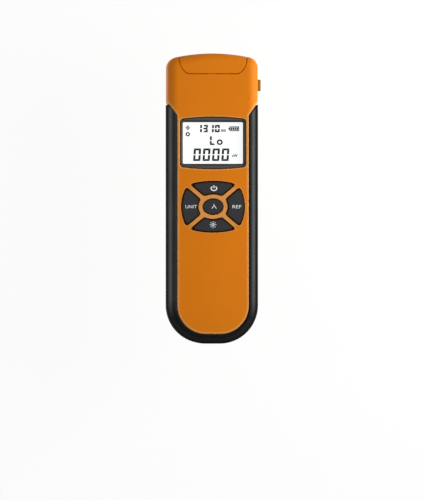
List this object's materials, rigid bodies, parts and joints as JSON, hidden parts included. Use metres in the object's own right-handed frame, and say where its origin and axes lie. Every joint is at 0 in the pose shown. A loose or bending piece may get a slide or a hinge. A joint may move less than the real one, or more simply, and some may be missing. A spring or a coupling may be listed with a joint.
{
  "type": "optical power meter",
  "caption": "Pocket optical power meter with a flip dust cover over its ferrule port, an inset display, a round keypad, a wrap-round rubber grip and a rear battery cover.",
  "frame": {"origin": "centre of the back face, on which the meter lies", "axes": "+X to the right of the display, +Y along the body towards the optical port, +Z out of the display"},
  "size_m": [0.0396, 0.1221, 0.0244],
  "materials": {
    "orange_plastic": "fine satin",
    "grip_rubber": "soft matte",
    "key_rubber": "soft matte",
    "bezel_plastic": "satin",
    "lens_plastic": "clear polished",
    "display_glass": "grey-white display",
    "white_plastic": "frosted",
    "connector_rubber": "matte",
    "board": "solder resist",
    "chip": "moulded",
    "steel": "plated",
    "port_metal": "nickel plated",
    "bulkhead_plastic": "matte black",
    "battery_jacket": "plain jacket"
  },
  "bodies": {
    "housing": {"front_shell": "orange_plastic", "rear_shell": "orange_plastic", "side_grip": "grip_rubber", "display_bezel": "bezel_plastic", "display_lens": "lens_plastic", "display_cell": "display_glass", "backlight": "white_plastic", "display_connector": "connector_rubber", "main_board": "board", "dome_contacts": "steel", "processor_chip": "chip", "amplifier_chip": "chip", "board_screws": "steel", "case_screws": "steel", "port_bulkhead": "bulkhead_plastic", "optical_adapter": "port_metal", "adapter_nut": "port_metal", "detector_can": "port_metal", "detector_board": "board", "cover_hinge_pin": "steel", "release_spring": "steel", "battery_left": "battery_jacket", "battery_right": "battery_jacket", "contact_positive": "steel", "contact_negative": "steel", "contact_bridge": "steel"},
    "dust_cover": {"dust_cover": "orange_plastic", "cover_seal": "grip_rubber"},
    "key_power": {"key_power": "key_rubber"},
    "key_unit": {"key_unit": "key_rubber"},
    "key_wavelength": {"key_wavelength": "key_rubber"},
    "key_reference": {"key_reference": "key_rubber"},
    "key_light": {"key_light": "key_rubber"},
    "release_button": {"release_button": "orange_plastic"},
    "battery_cover": {"battery_cover": "orange_plastic"}
  },
  "joints": [
    {"name": "dust_cover_hinge", "type": "hinge", "parent": "housing", "child": "dust_cover", "pos_m": [0, 0.0572, 0.0038], "axis": [-1, 0, 0], "range_deg": [0, 90]},
    {"name": "key_power_press", "type": "slide", "parent": "housing", "child": "key_power", "axis": [0, 0, -1], "range_m": [0, 0.0006], "stiffness_N_per_m": 400, "springref_m": -0.0004},
    {"name": "key_unit_press", "type": "slide", "parent": "housing", "child": "key_unit", "axis": [0, 0, -1], "range_m": [0, 0.0006], "stiffness_N_per_m": 400, "springref_m": -0.0004},
    {"name": "key_wavelength_press", "type": "slide", "parent": "housing", "child": "key_wavelength", "axis": [0, 0, -1], "range_m": [0, 0.0006], "stiffness_N_per_m": 400, "springref_m": -0.0004},
    {"name": "key_reference_press", "type": "slide", "parent": "housing", "child": "key_reference", "axis": [0, 0, -1], "range_m": [0, 0.0006], "stiffness_N_per_m": 400, "springref_m": -0.0004},
    {"name": "key_light_press", "type": "slide", "parent": "housing", "child": "key_light", "axis": [0, 0, -1], "range_m": [0, 0.0006], "stiffness_N_per_m": 400, "springref_m": -0.0004},
    {"name": "release_button_press", "type": "slide", "parent": "housing", "child": "release_button", "axis": [-1, 0, 0], "range_m": [0, 0.001], "stiffness_N_per_m": 400, "springref_m": -0.0005, "deforming": ["release_spring"]},
    {"name": "battery_cover_tilt", "type": "hinge", "parent": "housing", "child": "battery_cover", "pos_m": [0, 0.0047, 0], "axis": [1, 0, 0], "range_deg": [0, 45]}
  ]
}
